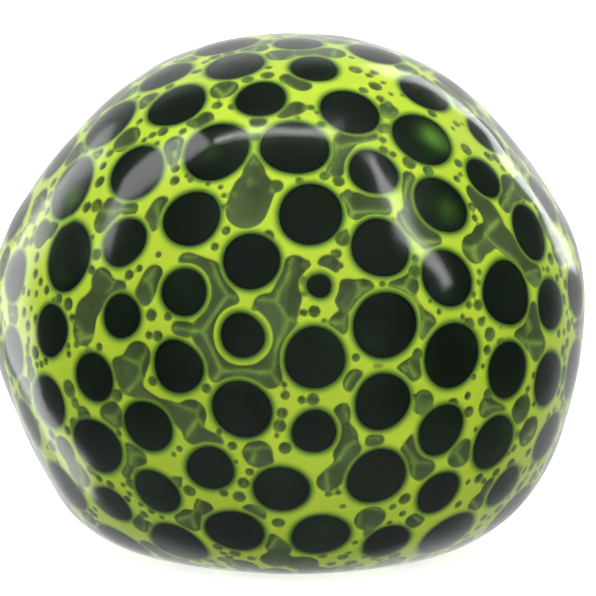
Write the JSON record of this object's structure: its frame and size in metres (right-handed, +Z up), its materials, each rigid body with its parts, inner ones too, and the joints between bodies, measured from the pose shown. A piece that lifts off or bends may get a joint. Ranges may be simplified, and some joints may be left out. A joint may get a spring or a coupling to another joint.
{
  "type": "stress ball",
  "caption": "Round squeezable ball: clear rubber skin filled with dark gel beads in a yellow-green liquid, settled on a flat foot.",
  "frame": {"origin": "middle of the flat patch the ball stands on", "axes": "+Z up through the crown; the front looks along -Y; the filling port is at the back, on +Y"},
  "size_m": [0.07, 0.07, 0.0626],
  "materials": {
    "clear_skin": "clear, glossy thermoplastic rubber",
    "tinted_liquid": "cloudy yellow-green liquid against the clear skin",
    "bead_gel": "wet dark green gel",
    "plug_rubber": "clear soft rubber, slightly cloudy",
    "seal_adhesive": "cured clear adhesive"
  },
  "bodies": {
    "shell": {"skin": "clear_skin", "liquid": "tinted_liquid"},
    "port": {"fill_plug": "plug_rubber", "plug_seal": "seal_adhesive"},
    "foot_layer": {"foot_beads_back": "bead_gel", "foot_beads_front": "bead_gel", "foot_beads_left": "bead_gel", "foot_beads_right": "bead_gel"},
    "low_layer": {"low_beads_back": "bead_gel", "low_beads_core": "bead_gel", "low_beads_front": "bead_gel", "low_beads_left": "bead_gel", "low_beads_right": "bead_gel"},
    "lower_layer": {"lower_beads_back": "bead_gel", "lower_beads_core": "bead_gel", "lower_beads_front": "bead_gel", "lower_beads_left": "bead_gel", "lower_beads_right": "bead_gel"},
    "middle_layer": {"middle_beads_back": "bead_gel", "middle_beads_core": "bead_gel", "middle_beads_front": "bead_gel", "middle_beads_left": "bead_gel", "middle_beads_right": "bead_gel"},
    "upper_layer": {"upper_beads_back": "bead_gel", "upper_beads_core": "bead_gel", "upper_beads_front": "bead_gel", "upper_beads_left": "bead_gel", "upper_beads_right": "bead_gel"},
    "high_layer": {"high_beads_back": "bead_gel", "high_beads_core": "bead_gel", "high_beads_front": "bead_gel", "high_beads_left": "bead_gel", "high_beads_right": "bead_gel"},
    "crown_layer": {"crown_beads_back": "bead_gel", "crown_beads_front": "bead_gel", "crown_beads_left": "bead_gel", "crown_beads_right": "bead_gel"}
  },
  "joints": [
    {"name": "squeeze", "type": "slide", "parent": "shell", "child": "crown_layer", "axis": [0, 0, -1], "range_m": [0, 0.016], "stiffness_N_per_m": 1500, "deforming": ["skin", "liquid", "crown_beads_back", "crown_beads_front", "crown_beads_left", "crown_beads_right"]},
    {"name": "squeeze_high", "type": "slide", "parent": "shell", "child": "high_layer", "axis": [0, 0, -1], "range_m": [0, 0.01363], "deforming": ["high_beads_back", "high_beads_core", "high_beads_front", "high_beads_left", "high_beads_right"]},
    {"name": "squeeze_upper", "type": "slide", "parent": "shell", "child": "upper_layer", "axis": [0, 0, -1], "range_m": [0, 0.01135], "deforming": ["upper_beads_back", "upper_beads_core", "upper_beads_front", "upper_beads_left", "upper_beads_right"]},
    {"name": "squeeze_middle", "type": "slide", "parent": "shell", "child": "middle_layer", "axis": [0, 0, -1], "range_m": [0, 0.00908], "deforming": ["middle_beads_back", "middle_beads_core", "middle_beads_front", "middle_beads_left", "middle_beads_right"]},
    {"name": "squeeze_lower", "type": "slide", "parent": "shell", "child": "lower_layer", "axis": [0, 0, -1], "range_m": [0, 0.00681], "deforming": ["lower_beads_back", "lower_beads_core", "lower_beads_front", "lower_beads_left", "lower_beads_right"]},
    {"name": "squeeze_low", "type": "slide", "parent": "shell", "child": "low_layer", "axis": [0, 0, -1], "range_m": [0, 0.00454], "deforming": ["low_beads_back", "low_beads_core", "low_beads_front", "low_beads_left", "low_beads_right"]},
    {"name": "squeeze_foot", "type": "slide", "parent": "shell", "child": "foot_layer", "axis": [0, 0, -1], "range_m": [0, 0.00223], "deforming": ["foot_beads_back", "foot_beads_front", "foot_beads_left", "foot_beads_right"]},
    {"name": "squeeze_port", "type": "slide", "parent": "shell", "child": "port", "axis": [0, 0, -1], "range_m": [0, 0.0083]}
  ],
  "couplings": [
    {"joint": "squeeze_high", "follows": "squeeze", "ratio": 0.8486},
    {"joint": "squeeze_upper", "follows": "squeeze", "ratio": 0.7065},
    {"joint": "squeeze_middle", "follows": "squeeze", "ratio": 0.5645},
    {"joint": "squeeze_lower", "follows": "squeeze", "ratio": 0.4224},
    {"joint": "squeeze_low", "follows": "squeeze", "ratio": 0.2804},
    {"joint": "squeeze_foot", "follows": "squeeze", "ratio": 0.1364},
    {"joint": "squeeze_port", "follows": "squeeze", "ratio": 0.5159}
  ]
}
